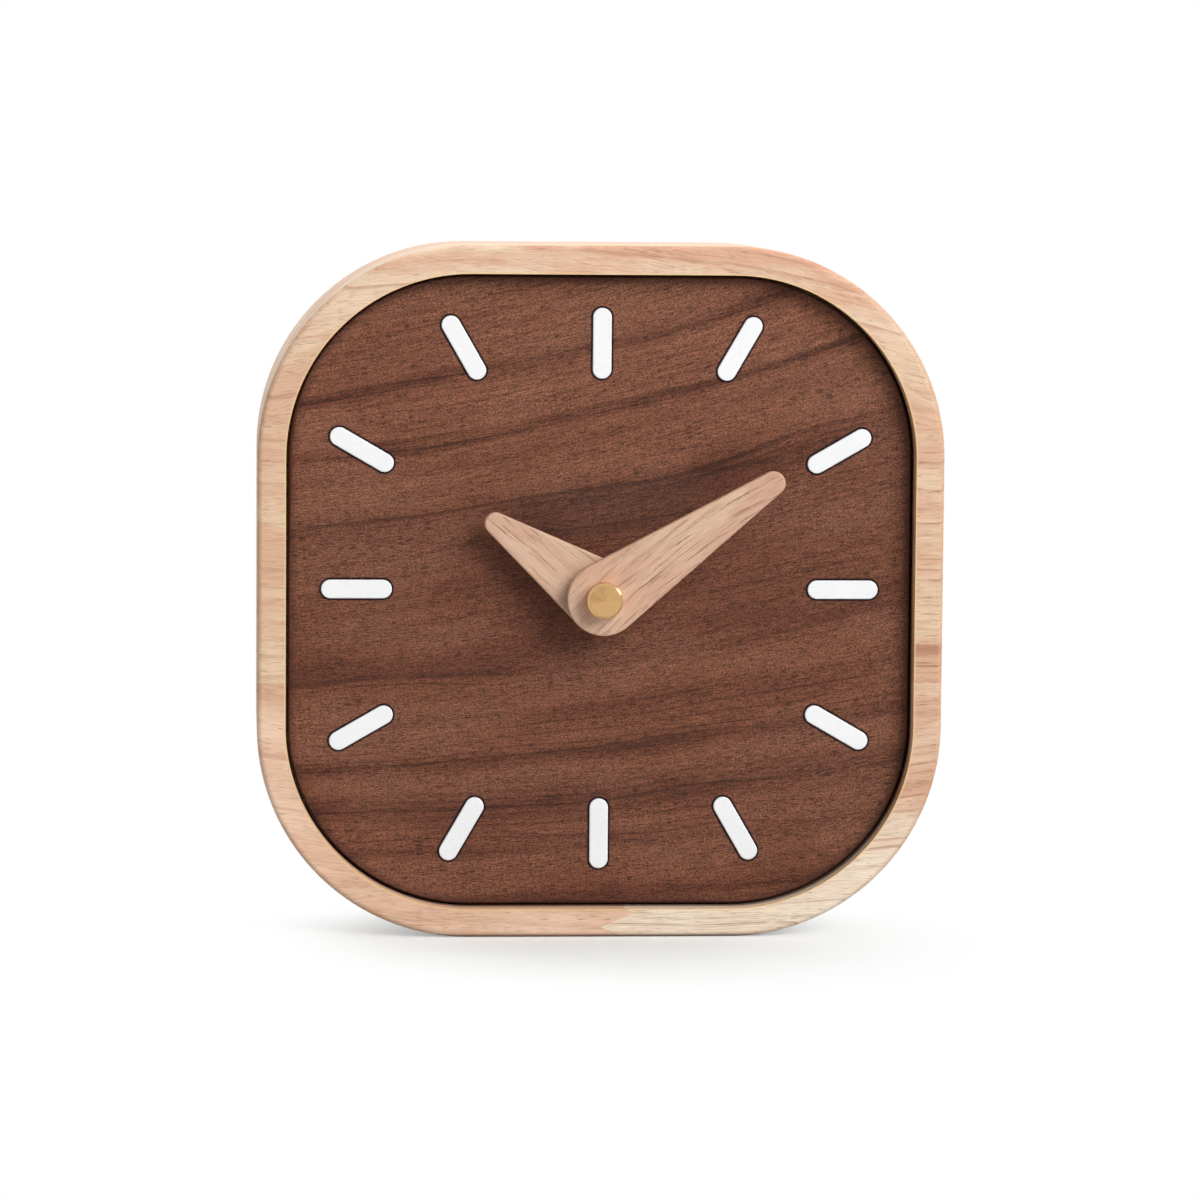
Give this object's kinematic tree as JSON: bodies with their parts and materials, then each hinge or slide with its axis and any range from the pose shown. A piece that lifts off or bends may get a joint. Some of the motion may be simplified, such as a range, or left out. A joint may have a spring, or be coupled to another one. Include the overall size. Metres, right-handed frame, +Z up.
{
  "type": "desk clock",
  "caption": "Rounded square wooden desk clock with a dark wood dial, inlaid white hour bars, wooden hands and a battery movement behind the dial.",
  "frame": {"origin": "the middle of the flat base that the clock stands on", "axes": "+X to the right as seen from the front, +Y back from the dial, +Z up"},
  "size_m": [0.12, 0.049, 0.121],
  "materials": {
    "case_wood": "sanded, clear matt oil",
    "dial_wood": "sanded walnut, matt",
    "hand_wood": "sanded, matt",
    "bar_white": "white acrylic, satin",
    "brass": "satin brushed",
    "rubber": "matt",
    "case_plastic": "fine moulded texture",
    "wheel_plastic": "natural moulded",
    "magnet": "dark grey sintered",
    "motor_steel": "punched sheet",
    "winding_copper": "enamelled wire",
    "board_green": "solder mask",
    "chip_black": "potted",
    "battery_wrap": "printed sleeve without words"
  },
  "bodies": {
    "case": {"case_upper_stave": "case_wood", "case_middle_left": "case_wood", "case_middle_right": "case_wood", "case_lower_left": "case_wood", "case_lower_right": "case_wood", "dial_board": "dial_wood", "hour_bar_01": "bar_white", "hour_bar_02": "bar_white", "hour_bar_03": "bar_white", "hour_bar_04": "bar_white", "hour_bar_05": "bar_white", "hour_bar_06": "bar_white", "hour_bar_07": "bar_white", "hour_bar_08": "bar_white", "hour_bar_09": "bar_white", "hour_bar_10": "bar_white", "hour_bar_11": "bar_white", "hour_bar_12": "bar_white", "fixing_washer": "brass", "fixing_nut": "brass", "rubber_gasket": "rubber", "movement_front_case": "case_plastic", "movement_rear_case": "case_plastic", "bearing_plate": "wheel_plastic", "stator_left": "motor_steel", "stator_right": "motor_steel", "coil_core": "motor_steel", "coil_bobbin": "wheel_plastic", "coil_winding": "winding_copper", "circuit_board": "board_green", "timing_chip": "chip_black", "quartz_crystal": "motor_steel", "contact_positive": "motor_steel", "contact_negative": "motor_steel"},
    "minute_group": {"minute_hand": "hand_wood", "cap_nut": "brass", "minute_arbor": "brass", "centre_wheel": "wheel_plastic"},
    "hour_group": {"hour_hand": "hand_wood", "hour_wheel": "wheel_plastic"},
    "motion_group": {"motion_wheel": "wheel_plastic"},
    "third_group": {"third_wheel": "wheel_plastic"},
    "seconds_group": {"seconds_wheel": "wheel_plastic"},
    "intermediate_group": {"intermediate_wheel": "wheel_plastic"},
    "rotor_group": {"rotor_arbor": "wheel_plastic", "rotor_magnet": "magnet"},
    "knob_group": {"setting_knob": "case_plastic"},
    "battery_group": {"battery": "battery_wrap"}
  },
  "joints": [
    {"name": "minute_turn", "type": "hinge", "parent": "case", "child": "minute_group", "pos_m": [0, 0, 0.0599], "axis": [0, 1, 0], "continuous": true},
    {"name": "hour_turn", "type": "hinge", "parent": "case", "child": "hour_group", "pos_m": [0, 0, 0.0599], "axis": [0, 1, 0], "continuous": true},
    {"name": "motion_turn", "type": "hinge", "parent": "case", "child": "motion_group", "pos_m": [0.00685, 0, 0.05685], "axis": [0, 1, 0], "continuous": true},
    {"name": "knob_turn", "type": "hinge", "parent": "case", "child": "knob_group", "pos_m": [0.01435, 0, 0.05685], "axis": [0, 1, 0], "continuous": true},
    {"name": "third_turn", "type": "hinge", "parent": "case", "child": "third_group", "pos_m": [-0.00659, 0, 0.06543], "axis": [0, 1, 0], "continuous": true},
    {"name": "seconds_turn", "type": "hinge", "parent": "case", "child": "seconds_group", "pos_m": [0, 0, 0.0599], "axis": [0, 1, 0], "continuous": true},
    {"name": "intermediate_turn", "type": "hinge", "parent": "case", "child": "intermediate_group", "pos_m": [0.00717, 0, 0.06492], "axis": [0, 1, 0], "continuous": true},
    {"name": "rotor_turn", "type": "hinge", "parent": "case", "child": "rotor_group", "pos_m": [0.00903, 0, 0.07187], "axis": [0, 1, 0], "continuous": true},
    {"name": "battery_out", "type": "slide", "parent": "case", "child": "battery_group", "axis": [0, 1, 0], "range_m": [0, 0.032]}
  ],
  "couplings": [
    {"joint": "hour_turn", "follows": "minute_turn", "ratio": 0.083333},
    {"joint": "motion_turn", "follows": "minute_turn", "ratio": -0.33333},
    {"joint": "knob_turn", "follows": "minute_turn", "ratio": 1},
    {"joint": "third_turn", "follows": "minute_turn", "ratio": -8},
    {"joint": "seconds_turn", "follows": "minute_turn", "ratio": 60},
    {"joint": "intermediate_turn", "follows": "minute_turn", "ratio": -360},
    {"joint": "rotor_turn", "follows": "minute_turn", "ratio": 1800}
  ]
}
